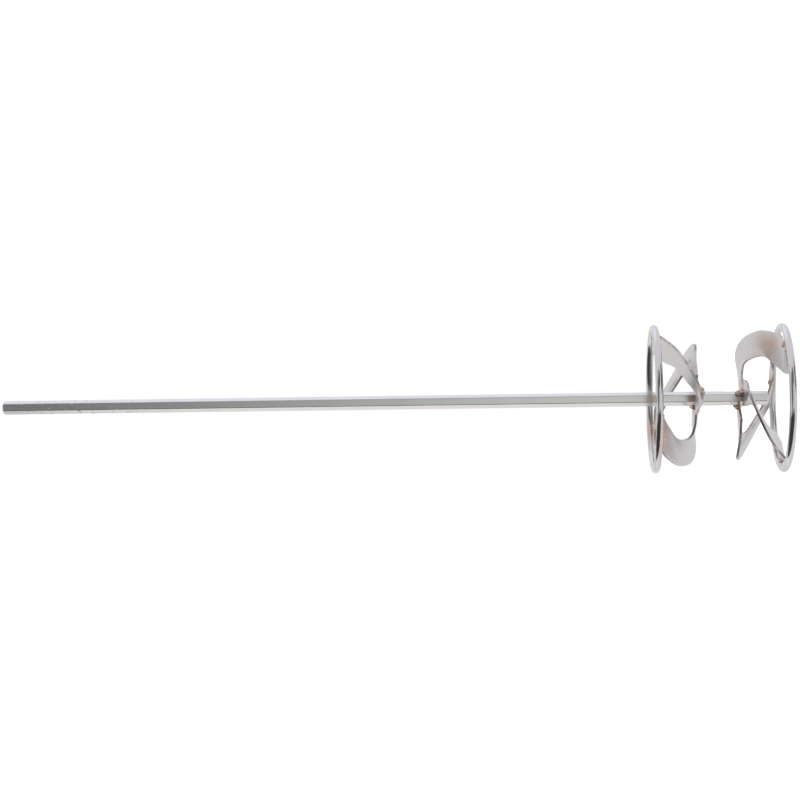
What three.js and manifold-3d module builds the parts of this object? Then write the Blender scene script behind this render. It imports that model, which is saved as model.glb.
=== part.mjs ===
// Mortar mixing paddle: a hexagonal bar with two welded mixing heads near its lower end.
// Each head is a round-wire ring and three sickle-shaped sheet blades that run from the bar
// out and round to the ring. Millimetres, +Z up. The paddle stands on its lower ring, with
// the bar's axis on Z and the shank at the top.

import * as THREE from 'three';
import { mergeVertices } from 'three/addons/utils/BufferGeometryUtils.js';
import Module from 'manifold-3d';

// ---- driving dimensions -------------------------------------------------------------------

const OVERALL_HEIGHT = 644;
const HEX_ACROSS_FLATS = 10;
const HEX_TURN = 35;             // direction in which one flat faces, degrees from +X
const CHAMFER_DEPTH = 1.45;      // of the turned chamfer at the bar's two ends, from a corner
const CHAMFER_SLOPE = 0.7;       // how far the chamfer drops for each millimetre outwards
const GRIP_TOP = 640;            // the part of the shank that the drill's chuck grips
const GRIP_FOOT = 590;
const BAR_FOOT = 14.7;           // height of the bar's lower end above the floor

const RING_OUTSIDE = 120;        // outside diameter of both rings
const WIRE = 5.8;                // diameter of the round bar that the rings are bent from
const HEAD_SPACING = 102;        // from the lower ring's plane to the upper ring's plane

const SHEET = 2;                 // thickness of the blades' sheet
const GAP = 0.3;                 // clearance left between two pieces that touch
const HUB_PLAY = 0.13;           // more of it at the hub, where the blades' ends are slanted

const RING_STEPS = 64;
const WIRE_SIDES = 12;
const BLADE_STEPS = 26;          // along a blade
const BLADE_STRIPS = 5;          // across a blade
const BEAD_STEPS = 8;
const END_STEP = 0.02;           // along a blade, to find which way its end faces
const BAR_COLUMNS = 24;         // round the bar, four to a flat

// ---- values worked out from them ----------------------------------------------------------

const WIRE_RADIUS = WIRE / 2;
const RING_RADIUS = RING_OUTSIDE / 2 - WIRE_RADIUS;      // to the wire's centre
const LOWER_RING_HEIGHT = WIRE_RADIUS;
const UPPER_RING_HEIGHT = LOWER_RING_HEIGHT + HEAD_SPACING;
const HEX_CORNER = HEX_ACROSS_FLATS / Math.sqrt(3);      // from the axis to a corner
const END_RADIUS = HEX_CORNER - CHAMFER_DEPTH;           // of the flat circle on the bar's ends
const HUB_CLEARANCE = HEX_CORNER + GAP + HUB_PLAY;       // from the axis to a blade's hub end

// ---- the blade's two edges ----------------------------------------------------------------
// In the blade's own frame X points out along the stem, Z rises from the ring's plane to the
// hub, and both edges run from the ring end (first point) to the hub end (last point).

const SEAT_HEIGHT = 1.8;         // of the blade's end above the ring's plane
const HUB_HEIGHT = 32.5;         // of the stem above the ring's plane

const INNER_EDGE = [
  [8.2, -52.1, SEAT_HEIGHT],
  [9.4, -37.6, 1.6],
  [21.8, -22, 8.6],
  [31.3, -11.5, 16.5],
  [32.3, 6.6, 27.4],
  [22.4, 2.1, 31.7],
  [HUB_CLEARANCE, -4.3, HUB_HEIGHT],
];

const OUTER_EDGE = [
  [37.4, -37.2, SEAT_HEIGHT],
  [43.7, -32.1, 5.3],
  [52.8, -13.4, 16.9],
  [53.5, 11.2, 28.4],
  [44.1, 24.4, 33.5],
  [25, 22.8, 32.2],
  [HUB_CLEARANCE, 18.5, 32.1],
];

// turn: direction of the stem, degrees from +X. hubShift and ringShift: how far this blade's
// two ends sit from their nominal heights, because the heads are set up and welded by hand.
// hubWeld: how far off the stem's middle the bead at the bar is. rimWeld: where along the
// ring end the other bead is, from 0 on the inner edge to 1 on the outer one.
const LOWER_BLADES = [
  { turn: 14.6, hubShift: -1.1, ringShift: 0, hubWeld: -4, rimWeld: 0.8 },
  { turn: 138.3, hubShift: 1.7, ringShift: 0.3, hubWeld: 1, rimWeld: 0.5 },
  { turn: 248, hubShift: -0.9, ringShift: -1, hubWeld: 1, rimWeld: 0.25 },
];

const UPPER_BLADES = [
  { turn: -61.3, hubShift: 0.1, ringShift: -0.9, hubWeld: -4, rimWeld: 0.5 },
  { turn: 56.2, hubShift: 1.7, ringShift: 1.5, hubWeld: 1, rimWeld: 0.5 },
  { turn: 175.9, hubShift: 0.9, ringShift: 1.2, hubWeld: 1, rimWeld: 0.6 },
];

// ---- weld beads ---------------------------------------------------------------------------

const HUB_BEAD = { out: 3.4, across: 5.2, up: 4.4 };
const HUB_BEAD_SET_BACK = 0.6;   // from the blade's end, away from the bar
const RIM_BEAD = { out: 3.2, across: 8.5, up: 2.6 };

// ---- materials ----------------------------------------------------------------------------

const barSteel = new THREE.MeshStandardMaterial({ color: 0xb4b6b2, roughness: 0.38, metalness: 1 });
const ringSteel = new THREE.MeshStandardMaterial({ color: 0xc6c5cb, roughness: 0.16, metalness: 1 });
const sheetSteel = new THREE.MeshStandardMaterial({ color: 0xbfbdc2, roughness: 0.32, metalness: 1 });
const weldMetal = new THREE.MeshStandardMaterial({ color: 0xa98b74, roughness: 0.5, metalness: 1 });

// ---- solids -------------------------------------------------------------------------------

const MERGE_DISTANCE = 1e-4;

const wasm = await Module();
wasm.setup();

function toSolid(geometry) {
  const bare = geometry.clone();
  bare.deleteAttribute('normal');
  bare.deleteAttribute('uv');
  const merged = mergeVertices(bare, MERGE_DISTANCE);
  return new wasm.Manifold(new wasm.Mesh({
    numProp: 3,
    vertProperties: new Float32Array(merged.attributes.position.array),
    triVerts: new Uint32Array(merged.index.array),
  }));
}

function toGeometry(solid) {
  const { vertProperties, triVerts } = solid.getMesh();
  const geometry = new THREE.BufferGeometry();
  geometry.setAttribute('position', new THREE.BufferAttribute(vertProperties, 3));
  geometry.setIndex(new THREE.BufferAttribute(triVerts, 1));
  geometry.computeVertexNormals();
  return geometry;
}

// A hexagonal bar along Z, grown by the given clearance on every side.
function hexBar(low, high, clearance) {
  const corner = HEX_CORNER + clearance / Math.cos(Math.PI / 6);
  const bar = new THREE.CylinderGeometry(corner, corner, high - low, 6);
  bar.rotateX(Math.PI / 2);
  bar.rotateZ(THREE.MathUtils.degToRad(HEX_TURN));
  bar.translate(0, 0, (low + high) / 2);
  return bar;
}

// Distance from the axis to the hexagon's outline in a direction given in radians. The flats
// face 0, 60 degrees and so on.
function hexReach(direction) {
  const sixth = Math.PI / 3;
  const fromFlat = direction - Math.round(direction / sixth) * sixth;
  return HEX_ACROSS_FLATS / 2 / Math.cos(fromFlat);
}

// The bar is made as a round one whose points are moved onto the hexagon and, at the two
// ends, onto the turned chamfer.
function barGeometry() {
  const heights = [OVERALL_HEIGHT, OVERALL_HEIGHT, GRIP_TOP, GRIP_FOOT, BAR_FOOT, BAR_FOOT];
  const last = heights.length - 1;
  const bar = new THREE.CylinderGeometry(1, 1, last, BAR_COLUMNS, last);
  bar.rotateX(Math.PI / 2);
  const position = bar.attributes.position;
  for (let i = 0; i < position.count; i += 1) {
    const direction = Math.atan2(position.getY(i), position.getX(i));
    const onAxis = Math.hypot(position.getX(i), position.getY(i)) < 0.5;
    const row = Math.round(last / 2 - position.getZ(i));
    const atEnd = row === 0 || row === last;
    const reach = atEnd ? END_RADIUS : hexReach(direction);
    const drop = (reach - END_RADIUS) * CHAMFER_SLOPE;
    let height = heights[row];
    if (row === 1) height -= drop;
    if (row === last - 1) height += drop;
    const radius = onAxis ? 0 : reach;
    position.setXYZ(i, radius * Math.cos(direction), radius * Math.sin(direction), height);
  }
  bar.rotateZ(THREE.MathUtils.degToRad(HEX_TURN));
  return bar;
}

// A wire ring about Z, grown by the given clearance.
function ringGeometry(clearance) {
  return new THREE.TorusGeometry(RING_RADIUS, WIRE_RADIUS + clearance, WIRE_SIDES, RING_STEPS);
}

function edgeCurve(points) {
  return new THREE.CatmullRomCurve3(points.map((p) => new THREE.Vector3(...p)), false, 'catmullrom', 0.5);
}

const innerEdge = edgeCurve(INNER_EDGE);
const outerEdge = edgeCurve(OUTER_EDGE);

// A point of the blade's middle surface: along is 0 at the ring and 1 at the hub, across is
// 0 on the inner edge and 1 on the outer one.
function bladePoint(along, across, blade) {
  const point = innerEdge.getPoint(along).lerp(outerEdge.getPoint(along), across);
  const rise = point.z / HUB_HEIGHT;
  point.z += blade.hubShift * rise + blade.ringShift * (1 - rise);
  return point;
}

function bladeNormal(along, across, blade) {
  const step = 0.002;
  const a = THREE.MathUtils.clamp(along, step, 1 - step);
  const c = THREE.MathUtils.clamp(across, step, 1 - step);
  const lengthways = bladePoint(a + step, c, blade).sub(bladePoint(a - step, c, blade));
  const sideways = bladePoint(a, c + step, blade).sub(bladePoint(a, c - step, blade));
  return lengthways.cross(sideways).normalize();
}

// The box's corners come back from 32-bit numbers, so they are put back on 0 and 1.
function snapped(value) {
  return Math.round(value * 1e6) / 1e6;
}

// A flat box bent over the blade's surface. The clearance grows it on every side.
function bladeGeometry(blade, clearance) {
  const sheet = new THREE.BoxGeometry(1, 1, 1, BLADE_STEPS, BLADE_STRIPS, 1);
  const position = sheet.attributes.position;
  for (let i = 0; i < position.count; i += 1) {
    const along = snapped(position.getX(i) + 0.5);
    const across = snapped(position.getY(i) + 0.5);
    const side = snapped(position.getZ(i) * 2);
    const normal = bladeNormal(along, across, blade);
    const point = bladePoint(along, across, blade);
    if (clearance > 0) {
      const inward = bladePoint(along, 0.5, blade).sub(point);
      if (across === 0 || across === 1) {
        point.addScaledVector(inward.normalize(), -clearance);
      }
      if (along === 0 || along === 1) {
        const end = bladePoint(along, across, blade);
        const backward = bladePoint(Math.abs(along - END_STEP), across, blade).sub(end);
        point.addScaledVector(backward.normalize(), -clearance);
      }
    }
    point.addScaledVector(normal, side * (SHEET / 2 + clearance));
    position.setXYZ(i, point.x, point.y, point.z);
  }
  return sheet;
}

// An egg-shaped bead: long across the sheet, with its middle at the given place.
function beadGeometry(size, place, turn) {
  const bead = new THREE.SphereGeometry(1, BEAD_STEPS, BEAD_STEPS);
  bead.scale(size.out, size.across, size.up);
  bead.rotateZ(turn);
  bead.translate(place.x, place.y, place.z);
  return bead;
}

// The bar as it lies in a blade's own frame, which is turned about Z and may be turned over.
function barFromBlade(blade, turnedOver) {
  const bar = hexBar(-HEAD_SPACING, HEAD_SPACING, GAP);
  bar.rotateZ(THREE.MathUtils.degToRad(-blade.turn));
  bar.rotateX(turnedOver ? Math.PI : 0);
  return bar;
}

// The bead wraps the blade's hub end and lies against the bar.
function hubBeadGeometry(blade, turnedOver) {
  const end = bladePoint(1, 0.5, blade);
  const place = new THREE.Vector3(end.x + HUB_BEAD_SET_BACK, blade.hubWeld, end.z);
  const bead = toSolid(beadGeometry(HUB_BEAD, place, 0))
    .subtract(toSolid(barFromBlade(blade, turnedOver)))
    .subtract(toSolid(bladeGeometry(blade, GAP)));
  return toGeometry(largest(bead));
}

function rimBeadGeometry(blade) {
  const place = bladePoint(0, blade.rimWeld, blade);
  const turn = Math.atan2(place.y, place.x);
  const bead = toSolid(beadGeometry(RIM_BEAD, place, turn))
    .subtract(toSolid(ringGeometry(GAP)))
    .subtract(toSolid(bladeGeometry(blade, GAP)));
  return toGeometry(largest(bead));
}

// Cutting a bead can leave loose crumbs, so only the biggest body is kept.
function largest(solid) {
  const bodies = solid.decompose();
  bodies.sort((a, b) => b.volume() - a.volume());
  return bodies[0];
}

// ---- assembly -----------------------------------------------------------------------------

function addMesh(parent, name, geometry, material) {
  const mesh = new THREE.Mesh(geometry, material);
  mesh.name = name;
  parent.add(mesh);
}

// The upper head is the lower head turned over: its ring is on top and its hub hangs below.
function addHead(parent, name, ringHeight, turnedOver, blades) {
  const head = new THREE.Group();
  head.position.z = ringHeight;
  addMesh(head, `${name}_ring`, ringGeometry(0), ringSteel);
  blades.forEach((blade, index) => {
    const number = index + 1;
    const stand = new THREE.Group();
    stand.rotation.z = THREE.MathUtils.degToRad(blade.turn);
    const flip = new THREE.Group();
    flip.rotation.x = turnedOver ? Math.PI : 0;
    stand.add(flip);
    head.add(stand);
    addMesh(flip, `${name}_blade_${number}`, bladeGeometry(blade, 0), sheetSteel);
    addMesh(flip, `${name}_hub_weld_${number}`, hubBeadGeometry(blade, turnedOver), weldMetal);
    addMesh(flip, `${name}_rim_weld_${number}`, rimBeadGeometry(blade), weldMetal);
  });
  parent.add(head);
}

const paddle = new THREE.Group();
addMesh(paddle, 'hex_bar', barGeometry(), barSteel);
addHead(paddle, 'lower', LOWER_RING_HEIGHT, false, LOWER_BLADES);
addHead(paddle, 'upper', UPPER_RING_HEIGHT, true, UPPER_BLADES);

export default paddle;
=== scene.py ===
"""Mortar mixing paddle: its visible pieces, their finishes and a plain studio.

The file is laid out as an add-on, with one operator for each piece or group of like pieces,
and it is run as a script. Lengths are in metres, in the frame of the CAD model: the paddle
stands on its lower ring, with the bar's axis on Z.
"""

import math

import bpy
from mathutils import Matrix, Vector


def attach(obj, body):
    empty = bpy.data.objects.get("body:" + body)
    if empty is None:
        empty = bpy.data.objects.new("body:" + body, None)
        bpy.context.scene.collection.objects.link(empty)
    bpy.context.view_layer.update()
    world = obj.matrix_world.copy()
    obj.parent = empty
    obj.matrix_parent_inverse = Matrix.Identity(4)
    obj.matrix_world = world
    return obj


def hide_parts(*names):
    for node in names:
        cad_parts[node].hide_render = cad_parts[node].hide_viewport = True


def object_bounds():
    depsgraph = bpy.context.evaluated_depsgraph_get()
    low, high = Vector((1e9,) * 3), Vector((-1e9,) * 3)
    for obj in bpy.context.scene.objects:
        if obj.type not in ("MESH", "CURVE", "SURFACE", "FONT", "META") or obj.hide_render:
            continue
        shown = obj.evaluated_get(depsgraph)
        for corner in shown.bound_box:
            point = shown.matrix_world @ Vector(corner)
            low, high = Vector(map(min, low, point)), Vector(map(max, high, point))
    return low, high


bl_info = {
    "name": "Mortar mixing paddle",
    "version": (1, 0, 0),
    "blender": (4, 5, 0),
    "location": "3D View > Sidebar > Paddle",
    "description": "Builds a welded mortar mixing paddle on its CAD frame",
    "category": "Add Mesh",
}

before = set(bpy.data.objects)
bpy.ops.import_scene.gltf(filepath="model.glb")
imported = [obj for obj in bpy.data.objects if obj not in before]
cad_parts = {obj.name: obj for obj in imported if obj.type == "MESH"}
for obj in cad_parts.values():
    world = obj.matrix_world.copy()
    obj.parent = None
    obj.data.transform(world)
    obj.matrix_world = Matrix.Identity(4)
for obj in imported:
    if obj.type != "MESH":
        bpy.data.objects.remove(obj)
cad_low, cad_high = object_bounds()

MM = 0.001


# ---- sizes and colours --------------------------------------------------------------------


def linear(hex_colour):
    """An sRGB hex colour as linear red, green and blue."""
    channels = [int(hex_colour[i : i + 2], 16) / 255 for i in (1, 3, 5)]
    return tuple(c / 12.92 if c <= 0.04045 else ((c + 0.055) / 1.055) ** 2.4 for c in channels)


def length(name, description, default):
    return bpy.props.FloatProperty(
        name=name, description=description, default=default, unit="LENGTH"
    )


def colour(name, description, default):
    return bpy.props.FloatVectorProperty(
        name=name, description=description, default=linear(default), size=3, subtype="COLOR"
    )


class PaddleSizes(bpy.types.PropertyGroup):
    overall: length("Overall height", "From the floor to the end of the shank", cad_high.z)
    across_flats: length("Across flats", "Of the hexagonal bar", 10 * MM)
    hex_turn: bpy.props.FloatProperty(
        name="Flat faces",
        description="Direction in which one of the bar's flats faces, from X",
        default=math.radians(35),
        unit="ROTATION",
    )
    bar_foot: length("Bar foot", "Height of the bar's lower end above the floor", 14.7 * MM)
    ring_outside: length("Ring outside", "Outside diameter of the rings", 120 * MM)
    wire: length("Wire", "Diameter of the round bar the rings are bent from", 5.8 * MM)
    head_spacing: length("Head spacing", "Between the planes of the two rings", 102 * MM)
    sheet: length("Sheet", "Thickness of the blades", 2 * MM)


class PaddleColours(bpy.types.PropertyGroup):
    bar: colour("Bar", "Zinc on the drawn bar", "#E4E5E3")
    wire: colour("Wire", "Bright plating on the rings", "#E0DEE0")
    sheet: colour("Sheet", "Satin plating on the blades", "#E6E3E4")
    shear: colour("Sheared edge", "Thin plating on a punched edge", "#D4CFCC")
    copper: colour("Weld", "Copper tone of the weld metal", "#D0AB93")
    # This colour is also used for painted crease shade in the middle of one lower blade.
    straw: colour("Heat tint", "Plating that weld heat has browned", "#C3A794")


# ---- the blade's two edges ----------------------------------------------------------------
# In a blade's own frame X points out along the stem and Z rises from the ring's plane to the
# hub. Both edges run from the ring end to the hub end. Millimetres.

HUB_HEIGHT = 32.5
HUB_HEAT = 12 * MM

INNER_EDGE = [
    (8.2, -52.1, 1.8),
    (9.4, -37.6, 1.6),
    (21.8, -22, 8.6),
    (31.3, -11.5, 16.5),
    (32.3, 6.6, 27.4),
    (22.4, 2.1, 31.7),
    (6.2, -4.3, 32.5),
]

OUTER_EDGE = [
    (37.4, -37.2, 1.8),
    (43.7, -32.1, 5.3),
    (52.8, -13.4, 16.9),
    (53.5, 11.2, 28.4),
    (44.1, 24.4, 33.5),
    (25, 22.8, 32.2),
    (6.2, 18.5, 32.1),
]

# turn: direction of the stem in degrees. hub and ring: how far the two ends sit from their
# nominal heights. rim_weld: where along the ring end its bead is, from 0 inside to 1 outside.
# hub_weld: where the other bead's middle is, as its distance beyond the blade's hub end along
# the stem, to one side of the stem's middle, and above the end. heat_and_shade: how far brown
# colour spreads round the middle of the blade at the pair of edge points numbered
# heat_and_shade_at. Near the ring end this is weld heat tint. In the middle of the first lower
# blade it is painted shade of a crease, in the heat-tint colour.
# Millimetres.
LOWER_BLADES = [
    # This blade's brown patch at edge points 2 is painted shade of a crease, in the heat-tint
    # colour.
    {
        "turn": 14.6, "hub": -1.1, "ring": 0, "rim_weld": 0.8,
        "hub_weld": (-3.8, -5.6, 3), "heat_and_shade": 13, "heat_and_shade_at": 2,
    },
    {
        "turn": 138.3, "hub": 1.7, "ring": 0.3, "rim_weld": 0.5,
        "hub_weld": (0.4, 1, 1.6), "heat_and_shade": 11, "heat_and_shade_at": 0,
    },
    {
        "turn": 248, "hub": -0.9, "ring": -1, "rim_weld": 0.25,
        "hub_weld": (0.4, 1, -2), "heat_and_shade": 9, "heat_and_shade_at": 0,
    },
]

UPPER_BLADES = [
    {
        "turn": -61.3, "hub": 0.1, "ring": -0.9, "rim_weld": 0.5,
        "hub_weld": (0.2, -3, 3.8), "heat_and_shade": 9, "heat_and_shade_at": 0,
    },
    {
        "turn": 56.2, "hub": 1.7, "ring": 1.5, "rim_weld": 0.5,
        "hub_weld": (0.4, 1, 1.6), "heat_and_shade": 11, "heat_and_shade_at": 0,
    },
    {
        "turn": 175.9, "hub": 0.9, "ring": 1.2, "rim_weld": 0.6,
        "hub_weld": (0.2, 3, -1), "heat_and_shade": 15, "heat_and_shade_at": 1,
    },
]

# Shears round the faces of a punched blade over by this much.
BURR = 0.22 * MM

# ---- the bar's edges and ends -------------------------------------------------------------
# Each end is a cone that takes this much off the corners, and its height is slope times that.
# The round envelope that cuts the cones stands a little clear of the corners.

LONG_EDGE_ROUNDING = 0.5 * MM
CHAMFER_DEPTH = 1.45 * MM
CHAMFER_SLOPE = 0.7
ENVELOPE_CLEARANCE = 0.3 * MM

# Brown spots on the bar's front flat: behind the upper ring and beside the two hubs.
TINT_HEIGHTS = (108.4 * MM, 74.9 * MM, 35 * MM)
TINT_DEPTH = -4 * MM

# ---- the weld beads -----------------------------------------------------------------------
# Half of a bead's size before it is made lumpy, out from the axis, across and up, in
# millimetres. The lumps and the ripples on them have a spacing and a height.

HUB_BEAD_SIZE = (2.8, 4.8, 3.6)
RIM_BEAD_SIZE = (2.4, 6.4, 2.0)
LUMPS = (2.8 * MM, 2.4 * MM)
RIPPLES = (0.9 * MM, 0.5 * MM)

# ---- the room and the camera --------------------------------------------------------------

ROOM_TONE = (0.79, 0.785, 0.785)
FLOOR_RADIUS = 0.45
CAMERA_LENS = 74.05
CAMERA_SENSOR = 36
CAMERA_PLACE = (0.0021, -1.3446, 0.1998)
CAMERA_RIGHT = (-0.01349, 0.08281, -0.99647)
CAMERA_UP = (0.99991, 0.00112, -0.01344)
CAMERA_BACK = (0, -0.99656, -0.08282)


# ---- working in the viewport --------------------------------------------------------------


def deselect():
    if bpy.context.object and bpy.context.object.mode != "OBJECT":
        bpy.ops.object.mode_set(mode="OBJECT")
    bpy.ops.object.select_all(action="DESELECT")


def pick(*objects):
    """Selects only these objects, and makes the last one active."""
    deselect()
    for item in objects:
        item.select_set(True)
    bpy.context.view_layer.objects.active = objects[-1]


def settle(piece):
    """Puts the piece's place into its mesh, and applies its modifiers."""
    pick(piece)
    bpy.ops.object.transform_apply(location=True, rotation=True, scale=True)
    for modifier in list(piece.modifiers):
        bpy.ops.object.modifier_apply(modifier=modifier.name)


def unpick_mesh(piece):
    """Leaves edit mode with no corner, edge or face of the piece selected."""
    bpy.ops.object.mode_set(mode="OBJECT")
    for elements in (piece.data.vertices, piece.data.edges, piece.data.polygons):
        elements.foreach_set("select", [False] * len(elements))


def pick_edges(piece, wanted):
    """In edit mode, selects the edges for which wanted(first corner, second corner) holds."""
    unpick_mesh(piece)
    corners = piece.data.vertices
    for edge in piece.data.edges:
        edge.select = wanted(*(corners[i].co for i in edge.vertices))
    bpy.ops.object.mode_set(mode="EDIT")
    bpy.ops.mesh.select_mode(type="EDGE")


def pick_faces(piece, wanted):
    """In edit mode, selects the faces for which wanted(face) holds."""
    unpick_mesh(piece)
    for face in piece.data.polygons:
        face.select = wanted(face)
    bpy.ops.object.mode_set(mode="EDIT")
    bpy.ops.mesh.select_mode(type="FACE")


def copied(piece, name):
    """A copy of the piece with a mesh of its own."""
    twin = piece.copy()
    twin.data = piece.data.copy()
    twin.name = name
    twin.data.name = name
    bpy.context.scene.collection.objects.link(twin)
    return twin


def discard(piece):
    bpy.data.objects.remove(piece, do_unlink=True)


def finish_piece(piece, node, materials):
    """Gives the piece its finish and its place on the frame."""
    piece.name = "visible_" + node
    piece.data.name = piece.name
    while len(piece.data.materials) < len(materials):
        piece.data.materials.append(None)
    for index, material in enumerate(materials):
        piece.data.materials[index] = material
    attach(piece, "root")
    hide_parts(node)


def clouds(name, size):
    """A soft random pattern that a displacement follows. Its size is in metres."""
    pattern = bpy.data.textures.new(name, "CLOUDS")
    pattern.noise_scale = size
    pattern.noise_depth = 2
    return pattern


def displace(piece, name, size, strength):
    """Moves the surface in and out in a random pattern. Both measures are in metres."""
    modifier = piece.modifiers.new(name, "DISPLACE")
    modifier.texture = clouds(name, size)
    modifier.texture_coords = "LOCAL"
    modifier.mid_level = 0.5
    modifier.strength = strength


# ---- materials ----------------------------------------------------------------------------


def add_node(tree, kind, inputs=None, stops=None, **settings):
    """Adds a node. An input's value is a number, a colour, or another node's output."""
    made = tree.nodes.new(kind)
    for name, value in settings.items():
        setattr(made, name, value)
    if stops:
        ramp = made.color_ramp.elements
        while len(ramp) < len(stops):
            ramp.new(1)
        for element, (position, shade) in zip(ramp, stops):
            element.position = position
            element.color = (*shade, 1)
    for name, value in (inputs or {}).items():
        socket = made.inputs[name]
        if isinstance(value, bpy.types.NodeSocket):
            tree.links.new(value, socket)
        else:
            socket.default_value = value
    return made


def new_material(name):
    material = bpy.data.materials.new(name)
    material.use_nodes = True
    material.node_tree.nodes.clear()
    return material, material.node_tree


def close_material(tree, inputs):
    shader = add_node(tree, "ShaderNodeBsdfPrincipled", inputs)
    add_node(tree, "ShaderNodeOutputMaterial", {"Surface": shader.outputs["BSDF"]})


def opaque(shade):
    return (*shade, 1)


def zinc_plated_drawn_bar(colours):
    """Cold-drawn hexagonal bar with bright zinc.

    Drawing leaves fine lines along the bar, and the zinc over them is slightly cloudy, so
    reflections are soft across the bar and long along it. The shank has handling nicks.
    """
    material, tree = new_material("zinc_plated_drawn_bar")
    place = add_node(tree, "ShaderNodeTexCoord").outputs["Object"]
    # Drawing lines are tens of millimetres long. They are drawn about 0.6 mm apart, which is
    # coarser than the real ones, so that they show.
    along = add_node(
        tree, "ShaderNodeMapping", {"Vector": place, "Scale": (1, 1, 0.015)}
    ).outputs[0]
    lines = add_node(tree, "ShaderNodeTexNoise", {"Vector": along, "Scale": 1600, "Detail": 3})
    cloud = add_node(tree, "ShaderNodeTexNoise", {"Vector": place, "Scale": 55, "Detail": 4})
    # Nicks are under 1 mm wide and 2 to 4 mm long. They start 0.47 m up and are all there
    # from 0.56 m up, where hands and the chuck have been.
    long = add_node(tree, "ShaderNodeMapping", {"Vector": place, "Scale": (1, 1, 0.3)}).outputs[0]
    nick = add_node(tree, "ShaderNodeTexNoise", {"Vector": long, "Scale": 620, "Detail": 1})
    height = add_node(tree, "ShaderNodeSeparateXYZ", {0: place}).outputs["Z"]
    shank = add_node(
        tree,
        "ShaderNodeMapRange",
        {"Value": height, "From Min": 0.47, "From Max": 0.56, "To Min": 0, "To Max": 1},
    )
    spots = add_node(
        tree,
        "ShaderNodeMapRange",
        {"Value": nick.outputs[0], "From Min": 0.66, "From Max": 0.7, "To Min": 0, "To Max": 1},
    )
    worn = add_node(
        tree, "ShaderNodeMath", {0: spots.outputs[0], 1: shank.outputs[0]}, operation="MULTIPLY"
    ).outputs[0]
    tint = 0.0
    for tint_height in TINT_HEIGHTS:
        spot = (0, TINT_DEPTH, tint_height)
        reach = add_node(
            tree, "ShaderNodeVectorMath", {0: place, 1: spot}, operation="DISTANCE"
        ).outputs["Value"]
        near = add_node(
            tree,
            "ShaderNodeMapRange",
            {"Value": reach, "From Min": 0.0015, "From Max": 0.006, "To Min": 0.6, "To Max": 0},
            interpolation_type="SMOOTHSTEP",
        ).outputs[0]
        tint = add_node(
            tree, "ShaderNodeMath", {0: tint, 1: near}, operation="MAXIMUM"
        ).outputs[0]
    base = add_node(
        tree,
        "ShaderNodeMix",
        {0: cloud.outputs[0], 6: opaque([c * 0.9 for c in colours.bar]), 7: opaque(colours.bar)},
        data_type="RGBA",
    ).outputs[2]
    brown = add_node(
        tree, "ShaderNodeMix", {0: tint, 6: base, 7: opaque(colours.straw)}, data_type="RGBA"
    ).outputs[2]
    rough = add_node(
        tree,
        "ShaderNodeMapRange",
        {
            "Value": lines.outputs[0],
            "From Min": 0.3, "From Max": 0.7,
            "To Min": 0.15, "To Max": 0.24,
        },
    ).outputs[0]
    dull = add_node(tree, "ShaderNodeMath", {0: worn, 1: 0.5, 2: rough}, operation="MULTIPLY_ADD")
    relief = add_node(
        tree, "ShaderNodeMath", {0: worn, 1: -2, 2: lines.outputs[0]}, operation="MULTIPLY_ADD"
    )
    bump = add_node(
        tree,
        "ShaderNodeBump",
        {"Height": relief.outputs[0], "Strength": 0.1, "Distance": 0.00006},
    )
    close_material(
        tree,
        {
            "Base Color": brown,
            "Metallic": 1.0,
            "Roughness": dull.outputs[0],
            "Normal": bump.outputs[0],
        },
    )
    return material


def bright_plated_wire(colours):
    """Round drawn bar bent to a ring, with bright plating.

    The plating is nearly a mirror, with a faint waviness left by bending, so dark and light
    parts of the room are drawn out into long streaks round the wire. Weld heat browns it a
    little beside the blades.
    """
    material, tree = new_material("bright_plated_wire")
    place = add_node(tree, "ShaderNodeTexCoord").outputs["Object"]
    cloud = add_node(tree, "ShaderNodeTexNoise", {"Vector": place, "Scale": 90, "Detail": 3})
    # Bending marks are 2 to 4 mm apart.
    wave = add_node(tree, "ShaderNodeTexNoise", {"Vector": place, "Scale": 260, "Detail": 2})
    base = add_node(
        tree,
        "ShaderNodeMix",
        {
            0: cloud.outputs[0],
            6: opaque([c * 0.93 for c in colours.wire]),
            7: opaque(colours.wire),
        },
        data_type="RGBA",
    ).outputs[2]
    heat_and_shade = add_node(tree, "ShaderNodeAttribute", attribute_name="weld_heat_and_shade").outputs["Fac"]
    brown = add_node(
        tree, "ShaderNodeMix", {0: heat_and_shade, 6: base, 7: opaque(colours.straw)}, data_type="RGBA"
    ).outputs[2]
    rough = add_node(
        tree,
        "ShaderNodeMapRange",
        {
            "Value": cloud.outputs[0],
            "From Min": 0.3, "From Max": 0.7,
            "To Min": 0.04, "To Max": 0.1,
        },
    ).outputs[0]
    bump = add_node(
        tree,
        "ShaderNodeBump",
        {"Height": wave.outputs[0], "Strength": 0.3, "Distance": 0.00035},
    )
    close_material(
        tree,
        {"Base Color": brown, "Metallic": 1.0, "Roughness": rough, "Normal": bump.outputs[0]},
    )
    return material


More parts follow.
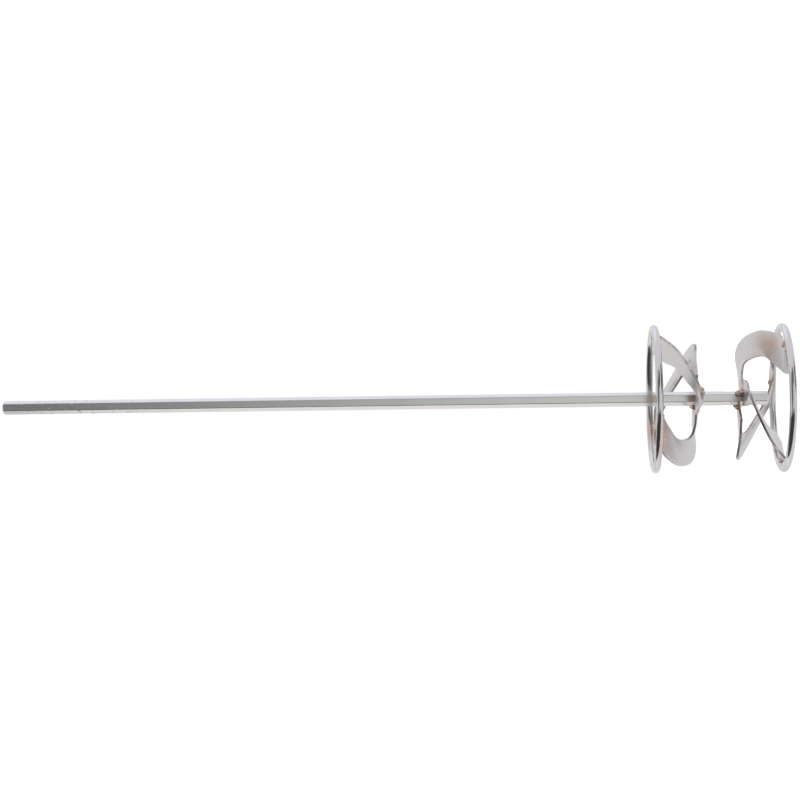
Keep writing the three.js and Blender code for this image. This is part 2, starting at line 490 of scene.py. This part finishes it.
def satin_plated_sheet(colours):
    """Punched and pressed steel sheet with a satin plating.

    Rolling leaves a fine short grain that blurs reflections to a soft sheen, and weld heat
    leaves a patchy straw to brown haze. The same brown across the middle of one lower blade is
    painted shade of a crease.
    """
    material, tree = new_material("satin_plated_sheet")
    place = add_node(tree, "ShaderNodeTexCoord").outputs["Object"]
    # Rolling grain is finer than can be seen, so it is drawn about 0.7 mm wide.
    grain = add_node(tree, "ShaderNodeTexNoise", {"Vector": place, "Scale": 1400, "Detail": 4})
    cloud = add_node(tree, "ShaderNodeTexNoise", {"Vector": place, "Scale": 70, "Detail": 3})
    heat_and_shade = add_node(tree, "ShaderNodeAttribute", attribute_name="weld_heat_and_shade").outputs["Fac"]
    patchy = add_node(
        tree,
        "ShaderNodeMapRange",
        {
            "Value": cloud.outputs[0],
            "From Min": 0.35, "From Max": 0.65,
            "To Min": 0.4, "To Max": 1.1,
        },
    ).outputs[0]
    # Patchy weld heat tint, which on one lower blade also holds painted crease shade.
    haze_and_shade = add_node(tree, "ShaderNodeMath", {0: heat_and_shade, 1: patchy}, operation="MULTIPLY").outputs[0]
    base = add_node(
        tree,
        "ShaderNodeMix",
        {
            0: cloud.outputs[0],
            6: opaque([c * 0.9 for c in colours.sheet]),
            7: opaque(colours.sheet),
        },
        data_type="RGBA",
    ).outputs[2]
    brown = add_node(
        tree, "ShaderNodeMix", {0: haze_and_shade, 6: base, 7: opaque(colours.straw)}, data_type="RGBA"
    ).outputs[2]
    rough = add_node(
        tree,
        "ShaderNodeMapRange",
        {
            "Value": grain.outputs[0],
            "From Min": 0.3, "From Max": 0.7,
            "To Min": 0.24, "To Max": 0.36,
        },
    ).outputs[0]
    bump = add_node(
        tree,
        "ShaderNodeBump",
        {"Height": grain.outputs[0], "Strength": 0.12, "Distance": 0.00005},
    )
    close_material(
        tree,
        {"Base Color": brown, "Metallic": 1.0, "Roughness": rough, "Normal": bump.outputs[0]},
    )
    return material


def sheared_sheet_edge(colours):
    """Edge of a punched blade: a burnished band and a torn one under thin plating.

    It is rougher than the faces, and dark in patches where the plating is thin.
    """
    material, tree = new_material("sheared_sheet_edge")
    place = add_node(tree, "ShaderNodeTexCoord").outputs["Object"]
    torn = add_node(tree, "ShaderNodeTexNoise", {"Vector": place, "Scale": 800, "Detail": 4})
    patch = add_node(tree, "ShaderNodeTexNoise", {"Vector": place, "Scale": 130, "Detail": 2})
    shade = add_node(
        tree,
        "ShaderNodeValToRGB",
        {0: patch.outputs[0]},
        stops=[
            (0.0, [c * 0.45 for c in colours.shear]),
            (0.40, [c * 0.7 for c in colours.shear]),
            (0.50, tuple(colours.shear)),
            (1.0, tuple(colours.sheet)),
        ],
    ).outputs[0]
    rough = add_node(
        tree,
        "ShaderNodeMapRange",
        {
            "Value": torn.outputs[0],
            "From Min": 0.3, "From Max": 0.7,
            "To Min": 0.3, "To Max": 0.55,
        },
    ).outputs[0]
    bump = add_node(
        tree,
        "ShaderNodeBump",
        {"Height": torn.outputs[0], "Strength": 0.4, "Distance": 0.0001},
    )
    close_material(
        tree, {"Base Color": shade, "Metallic": 1.0, "Roughness": rough, "Normal": bump.outputs[0]}
    )
    return material


def copper_toned_weld(colours):
    """Gas-shielded weld metal that the plating covers only in part.

    Copper from the wire and heat colours show through, with bright high spots and dark
    hollows between the ripples.
    """
    material, tree = new_material("copper_toned_weld")
    place = add_node(tree, "ShaderNodeTexCoord").outputs["Object"]
    # Ripples are about 1.4 mm apart.
    ripple = add_node(tree, "ShaderNodeTexNoise", {"Vector": place, "Scale": 700, "Detail": 3})
    patch = add_node(tree, "ShaderNodeTexNoise", {"Vector": place, "Scale": 330, "Detail": 2})
    shade = add_node(
        tree,
        "ShaderNodeValToRGB",
        {0: patch.outputs[0]},
        stops=[
            (0.0, [c * 0.6 for c in colours.copper]),
            (0.40, [c * 0.85 for c in colours.copper]),
            (0.50, tuple(colours.copper)),
            (0.60, tuple(colours.sheet)),
            (1.0, tuple(colours.sheet)),
        ],
    ).outputs[0]
    rough = add_node(
        tree,
        "ShaderNodeMapRange",
        {
            "Value": ripple.outputs[0],
            "From Min": 0.3, "From Max": 0.7,
            "To Min": 0.18, "To Max": 0.42,
        },
    ).outputs[0]
    bump = add_node(
        tree,
        "ShaderNodeBump",
        {"Height": ripple.outputs[0], "Strength": 0.5, "Distance": 0.0004},
    )
    close_material(
        tree, {"Base Color": shade, "Metallic": 1.0, "Roughness": rough, "Normal": bump.outputs[0]}
    )
    return material


def painted_studio_floor():
    """Matt white studio floor. It shines a little of its own, so it stays plain and pale."""
    material, tree = new_material("painted_studio_floor")
    place = add_node(tree, "ShaderNodeTexCoord").outputs["Object"]
    cloud = add_node(tree, "ShaderNodeTexNoise", {"Vector": place, "Scale": 4, "Detail": 2})
    base = add_node(
        tree,
        "ShaderNodeMix",
        {0: cloud.outputs[0], 6: (0.88, 0.88, 0.88, 1), 7: (0.9, 0.9, 0.9, 1)},
        data_type="RGBA",
    ).outputs[2]
    close_material(
        tree,
        {
            "Base Color": base,
            "Roughness": 0.9,
            "Emission Color": (1, 1, 1, 1),
            "Emission Strength": 0.9,
        },
    )
    return material


def material_named(name, maker, *values):
    return bpy.data.materials.get(name) or maker(*values)


# ---- placing a blade ----------------------------------------------------------------------


def head_specs(sizes):
    """Each head's name, blades, ring height, and whether it is turned over."""
    low = sizes.wire / 2
    return [
        ("lower", LOWER_BLADES, low, False),
        ("upper", UPPER_BLADES, low + sizes.head_spacing, True),
    ]


def blade_to_frame(blade, ring_height, turned_over):
    """The matrix from a blade's own frame, in metres, to the paddle's frame."""
    over = Matrix.Rotation(math.pi if turned_over else 0, 4, "X")
    turn = Matrix.Rotation(math.radians(blade["turn"]), 4, "Z")
    return Matrix.Translation((0, 0, ring_height)) @ turn @ over


def blade_shift(blade):
    """Stretches the blade along Z so that its two ends sit at this blade's own heights."""
    stretch = 1 + (blade["hub"] - blade["ring"]) / HUB_HEIGHT
    return Matrix.Translation((0, 0, blade["ring"] * MM)) @ Matrix.Diagonal((1, 1, stretch, 1))


def edge_point(blade, station, share):
    """The point this share of the way from the inner edge to the outer one."""
    inner, outer = Vector(INNER_EDGE[station]), Vector(OUTER_EDGE[station])
    return blade_shift(blade) @ (inner.lerp(outer, share) * MM)


def rim_place(blade):
    return edge_point(blade, 0, blade["rim_weld"])


# The middle of the blade at the chosen edge points: weld heat tint near the ring end, and painted
# crease shade in the middle of the first lower blade.
def heat_and_shade_spot(blade):
    return edge_point(blade, blade["heat_and_shade_at"], 0.5)


def hub_place(blade):
    return edge_point(blade, -1, 0.5)


def hot_and_shaded_places(sizes):
    """Where weld heat has coloured the plating, and where crease shade is painted in the same
    colour on one lower blade, and how far from each it reaches.
    """
    places = []
    for _, blades, height, over in head_specs(sizes):
        for blade in blades:
            frame_of = blade_to_frame(blade, height, over)
            places.append((frame_of @ heat_and_shade_spot(blade), blade["heat_and_shade"] * MM))
            places.append((frame_of @ hub_place(blade), HUB_HEAT))
    return places


def mark_heat_and_shade(piece, sizes):
    """Writes how much weld heat each point of the piece has seen, from 0 to 1, with the painted
    crease shade on one lower blade counted the same way.
    """
    places = hot_and_shaded_places(sizes)
    heat_and_shade = piece.data.attributes.new("weld_heat_and_shade", "FLOAT", "POINT")
    values = [
        max(math.exp(-(((vertex.co - place).length / reach) ** 2)) for place, reach in places)
        for vertex in piece.data.vertices
    ]
    heat_and_shade.data.foreach_set("value", values)


# ---- pieces -------------------------------------------------------------------------------


class PADDLE_OT_bar(bpy.types.Operator):
    """Hexagonal bar with rounded edges and turned ends"""

    bl_idname = "paddle.bar"
    bl_label = "Hexagonal bar"

    def execute(self, context):
        sizes = context.scene.paddle_sizes
        colours = context.scene.paddle_colours
        corner = sizes.across_flats / math.sqrt(3)
        tall = sizes.overall - sizes.bar_foot
        middle = (sizes.overall + sizes.bar_foot) / 2
        deselect()
        bpy.ops.mesh.primitive_cylinder_add(
            vertices=6,
            radius=corner,
            depth=tall,
            location=(0, 0, middle),
            rotation=(0, 0, sizes.hex_turn),
        )
        bar = context.object
        pick_edges(bar, lambda a, b: abs(a.z - b.z) > tall / 2)
        bpy.ops.mesh.bevel(offset=LONG_EDGE_ROUNDING, segments=4)
        bpy.ops.object.mode_set(mode="OBJECT")

        # The ends are turned: the bar is cut by a round envelope with a cone at each end.
        chamfer = (CHAMFER_DEPTH + ENVELOPE_CLEARANCE) * CHAMFER_SLOPE
        rim = corner + ENVELOPE_CLEARANCE
        bpy.ops.mesh.primitive_cylinder_add(
            vertices=96, radius=rim, depth=tall - 2 * chamfer, location=(0, 0, middle)
        )
        envelope = context.object
        for side in (1, -1):
            pick_faces(envelope, lambda face: face.normal.z * side > 0.9)
            bpy.ops.mesh.extrude_region_move(
                TRANSFORM_OT_translate={"value": (0, 0, side * chamfer)}
            )
            end = (corner - CHAMFER_DEPTH) / rim
            bpy.ops.transform.resize(value=(end, end, 1), center_override=(0, 0, middle))
        bpy.ops.object.mode_set(mode="OBJECT")
        cut = bar.modifiers.new("turned ends", "BOOLEAN")
        cut.operation = "INTERSECT"
        cut.object = envelope
        settle(bar)
        discard(envelope)
        finish_piece(
            bar,
            "hex_bar",
            [material_named("zinc_plated_drawn_bar", zinc_plated_drawn_bar, colours)],
        )
        return {"FINISHED"}


class PADDLE_OT_rings(bpy.types.Operator):
    """The two wire rings, slightly uneven from bending"""

    bl_idname = "paddle.rings"
    bl_label = "Rings"

    def execute(self, context):
        sizes = context.scene.paddle_sizes
        colours = context.scene.paddle_colours
        deselect()
        bpy.ops.mesh.primitive_torus_add(
            major_radius=(sizes.ring_outside - sizes.wire) / 2,
            minor_radius=sizes.wire / 2,
            major_segments=240,
            minor_segments=36,
        )
        pattern = context.object
        steel = material_named("bright_plated_wire", bright_plated_wire, colours)
        for name, _, height, _ in head_specs(sizes):
            ring = copied(pattern, name)
            ring.location.z = height
            settle(ring)
            # Bending leaves the wire about a tenth of a millimetre uneven every 20 mm or so.
            displace(ring, "bending", 18 * MM, 0.35 * MM)
            settle(ring)
            pick(ring)
            bpy.ops.object.shade_smooth()
            mark_heat_and_shade(ring, sizes)
            finish_piece(ring, name + "_ring", [steel])
        discard(pattern)
        return {"FINISHED"}


def draw_edge(points):
    """A smooth curve through the points, turned into a chain of short edges."""
    deselect()
    bpy.ops.curve.primitive_bezier_curve_add()
    edge = bpy.context.object
    spline = edge.data.splines[0]
    spline.bezier_points.add(len(points) - 2)
    last = len(points) - 1
    for index, (point, knot) in enumerate(zip(points, spline.bezier_points)):
        here = Vector(point)
        before = Vector(points[index - 1]) if index > 0 else 2 * here - Vector(points[1])
        after = Vector(points[index + 1]) if index < last else 2 * here - Vector(points[last - 1])
        knot.handle_left_type = knot.handle_right_type = "FREE"
        knot.co = here * MM
        knot.handle_left = (here - (after - before) / 6) * MM
        knot.handle_right = (here + (after - before) / 6) * MM
    edge.data.dimensions = "3D"
    edge.data.resolution_u = 14
    bpy.ops.object.convert(target="MESH")
    return bpy.context.object


def blade_surface():
    """The blade's middle surface, between its two edges."""
    inner = draw_edge(INNER_EDGE)
    outer = draw_edge(OUTER_EDGE)
    pick(inner, outer)
    bpy.ops.object.join()
    surface = bpy.context.object
    bpy.ops.object.mode_set(mode="EDIT")
    bpy.ops.mesh.select_all(action="SELECT")
    bpy.ops.mesh.bridge_edge_loops(number_cuts=11, interpolation="LINEAR")
    bpy.ops.mesh.select_all(action="SELECT")
    bpy.ops.mesh.normals_make_consistent(inside=False)
    bpy.ops.object.mode_set(mode="OBJECT")
    return surface


class PADDLE_OT_blades(bpy.types.Operator):
    """The six sickle-shaped sheet blades"""

    bl_idname = "paddle.blades"
    bl_label = "Blades"

    def execute(self, context):
        sizes = context.scene.paddle_sizes
        colours = context.scene.paddle_colours
        pattern = blade_surface()
        sheet = material_named("satin_plated_sheet", satin_plated_sheet, colours)
        shear = material_named("sheared_sheet_edge", sheared_sheet_edge, colours)
        for name, blades, height, over in head_specs(sizes):
            for number, blade in enumerate(blades, 1):
                piece = copied(pattern, f"{name}_{number}")
                piece.data.materials.append(sheet)
                piece.data.materials.append(shear)
                piece.matrix_world = blade_to_frame(blade, height, over) @ blade_shift(blade)
                settle(piece)
                wall = piece.modifiers.new("sheet", "SOLIDIFY")
                wall.thickness = sizes.sheet
                wall.offset = 0
                wall.use_quality_normals = True
                wall.material_offset_rim = 1
                edge = piece.modifiers.new("burr", "BEVEL")
                edge.width = BURR
                edge.segments = 2
                edge.limit_method = "ANGLE"
                edge.angle_limit = math.radians(60)
                settle(piece)
                pick(piece)
                bpy.ops.object.shade_smooth_by_angle(angle=math.radians(35))
                mark_heat_and_shade(piece, sizes)
                finish_piece(piece, f"{name}_blade_{number}", [sheet, shear])
        discard(pattern)
        return {"FINISHED"}


def lay_beads(context, kind, bead_size, place_of):
    """Six lumpy beads of one kind, each at its own blade."""
    sizes = context.scene.paddle_sizes
    colours = context.scene.paddle_colours
    weld = material_named("copper_toned_weld", copper_toned_weld, colours)
    deselect()
    bpy.ops.mesh.primitive_ico_sphere_add(subdivisions=5, radius=MM)
    pattern = context.object
    for name, blades, height, over in head_specs(sizes):
        for number, blade in enumerate(blades, 1):
            bead = copied(pattern, f"{name}_{number}")
            place, turn = place_of(blade)
            bead.matrix_world = (
                blade_to_frame(blade, height, over)
                @ Matrix.Translation(place)
                @ Matrix.Rotation(turn, 4, "Z")
                @ Matrix.Diagonal((*bead_size, 1))
            )
            settle(bead)
            displace(bead, "lumps", *LUMPS)
            displace(bead, "ripples", *RIPPLES)
            settle(bead)
            pick(bead)
            bpy.ops.object.shade_smooth()
            finish_piece(bead, f"{name}_{kind}_weld_{number}", [weld])
    discard(pattern)


class PADDLE_OT_hub_welds(bpy.types.Operator):
    """Weld beads between the blades and the bar"""

    bl_idname = "paddle.hub_welds"
    bl_label = "Hub welds"

    def execute(self, context):
        def place_of(blade):
            end = hub_place(blade)
            out, along, up = blade["hub_weld"]
            return Vector((end.x + out * MM, along * MM, end.z + up * MM)), 0

        lay_beads(context, "hub", HUB_BEAD_SIZE, place_of)
        return {"FINISHED"}


class PADDLE_OT_rim_welds(bpy.types.Operator):
    """Weld beads between the blades and the rings"""

    bl_idname = "paddle.rim_welds"
    bl_label = "Rim welds"

    def execute(self, context):
        def place_of(blade):
            place = rim_place(blade)
            return place, math.atan2(place.y, place.x)

        lay_beads(context, "rim", RIM_BEAD_SIZE, place_of)
        return {"FINISHED"}


# ---- stage --------------------------------------------------------------------------------


def lobe(axis, wide, narrow):
    """The part of the room round an axis, that fades in between two angles in degrees."""
    outside, inside = (math.cos(math.radians(angle)) for angle in (wide, narrow))
    return (Vector(axis).normalized(), outside, inside)


def room_parts():
    """The room that the metal mirrors, part by part: the planes that bound it, and its tone.

    A plane is an axis and the two distances along it between which the part fades in.
    """
    return [
        # The camera's side, a little darker than the rest.
        ([lobe((-0.1, -1, 0), 75, 30)], (0.74, 0.745, 0.74)),
        # Soft light boxes above and below.
        ([lobe((0.95, -0.25, 0.1), 40, 15)], (0.80, 0.785, 0.87)),
        ([lobe((-0.8, 0.1, -0.6), 40, 15)], (0.82, 0.80, 0.80)),
        # Brighter light, cool and warm, that the two slanting flats of the bar mirror.
        ([lobe((0.74, 0.61, 0.28), 30, 12)], (0.97, 0.95, 1.08)),
        ([lobe((-0.9, 0.33, 0.28), 30, 12)], (1.0, 0.96, 0.96)),
        # The camera and its stand.
        ([lobe((0.17, -0.8, 0.58), 38, 10)], (0.15, 0.155, 0.16)),
        # The unlit side of the room.
        (
            [
                ((-1, 0, 0), 0.16, 0.45),
                ((0, -0.9, 1), -0.02, 0.12),
                ((0, -1, 0), -0.55, -0.45),
            ],
            (0.06, 0.058, 0.056),
        ),
        # Gaps between the light boxes.
        ([lobe((0.55, -0.83, -0.02), 18, 12)], (0.02, 0.02, 0.02)),
        ([lobe((0.4, -0.25, -0.9), 22, 13)], (0.04, 0.035, 0.035)),
    ]


def studio_world():
    """A white room with a few dark parts, which the bright metal mirrors as streaks."""
    world = bpy.data.worlds.new("studio")
    world.use_nodes = True
    tree = world.node_tree
    tree.nodes.clear()
    direction = add_node(tree, "ShaderNodeTexCoord").outputs["Generated"]
    shade = opaque(ROOM_TONE)
    for planes, tone in room_parts():
        share = 1.0
        for axis, outside, inside in planes:
            along = add_node(
                tree, "ShaderNodeVectorMath", {0: direction, 1: axis}, operation="DOT_PRODUCT"
            ).outputs["Value"]
            share = add_node(
                tree,
                "ShaderNodeMapRange",
                {"Value": along, "From Min": outside, "From Max": inside, "To Max": share},
                interpolation_type="SMOOTHSTEP",
            ).outputs[0]
        shade = add_node(
            tree, "ShaderNodeMix", {0: share, 6: shade, 7: opaque(tone)}, data_type="RGBA"
        ).outputs[2]
    room = add_node(tree, "ShaderNodeBackground", {"Color": shade, "Strength": 1.0})
    plain = add_node(tree, "ShaderNodeBackground", {"Color": (1, 1, 1, 1), "Strength": 1.0})
    seen = add_node(tree, "ShaderNodeLightPath").outputs["Is Camera Ray"]
    both = add_node(
        tree, "ShaderNodeMixShader", {0: seen, 1: room.outputs[0], 2: plain.outputs[0]}
    )
    add_node(tree, "ShaderNodeOutputWorld", {"Surface": both.outputs[0]})
    bpy.context.scene.world = world


class PADDLE_OT_stage(bpy.types.Operator):
    """Plain floor, soft light all round, and the camera"""

    bl_idname = "paddle.stage"
    bl_label = "Stage"

    def execute(self, context):
        deselect()
        bpy.ops.mesh.primitive_circle_add(vertices=96, radius=FLOOR_RADIUS, fill_type="NGON")
        floor = context.object
        floor.name = "floor"
        floor.data.materials.append(painted_studio_floor())
        # The floor catches light but isn't mirrored in the bright metal.
        floor.visible_glossy = False
        studio_world()

        lens = bpy.data.cameras.new("camera")
        lens.lens = CAMERA_LENS
        lens.sensor_width = CAMERA_SENSOR
        camera = bpy.data.objects.new("camera", lens)
        context.scene.collection.objects.link(camera)
        turn = Matrix((CAMERA_RIGHT, CAMERA_UP, CAMERA_BACK)).transposed().to_4x4()
        camera.matrix_world = Matrix.Translation(CAMERA_PLACE) @ turn
        context.scene.camera = camera
        context.scene.view_settings.view_transform = "Standard"
        return {"FINISHED"}


# ---- add-on -------------------------------------------------------------------------------

STEPS = (
    PADDLE_OT_bar,
    PADDLE_OT_rings,
    PADDLE_OT_blades,
    PADDLE_OT_hub_welds,
    PADDLE_OT_rim_welds,
    PADDLE_OT_stage,
)


class PADDLE_PT_panel(bpy.types.Panel):
    """Lists the paddle's sizes, colours and building steps"""

    bl_idname = "PADDLE_PT_panel"
    bl_label = "Mortar mixing paddle"
    bl_space_type = "VIEW_3D"
    bl_region_type = "UI"
    bl_category = "Paddle"

    def draw(self, context):
        for group in (context.scene.paddle_sizes, context.scene.paddle_colours):
            for name in group.__annotations__:
                self.layout.prop(group, name)
        for step in STEPS:
            self.layout.operator(step.bl_idname)


CLASSES = (PaddleSizes, PaddleColours, *STEPS, PADDLE_PT_panel)


def register():
    for item in CLASSES:
        bpy.utils.register_class(item)
    bpy.types.Scene.paddle_sizes = bpy.props.PointerProperty(type=PaddleSizes)
    bpy.types.Scene.paddle_colours = bpy.props.PointerProperty(type=PaddleColours)


def unregister():
    del bpy.types.Scene.paddle_colours
    del bpy.types.Scene.paddle_sizes
    for item in reversed(CLASSES):
        bpy.utils.unregister_class(item)


def main():
    register()
    bpy.ops.paddle.bar()
    bpy.ops.paddle.rings()
    bpy.ops.paddle.blades()
    bpy.ops.paddle.hub_welds()
    bpy.ops.paddle.rim_welds()
    bpy.ops.paddle.stage()


if __name__ == "__main__":
    main()
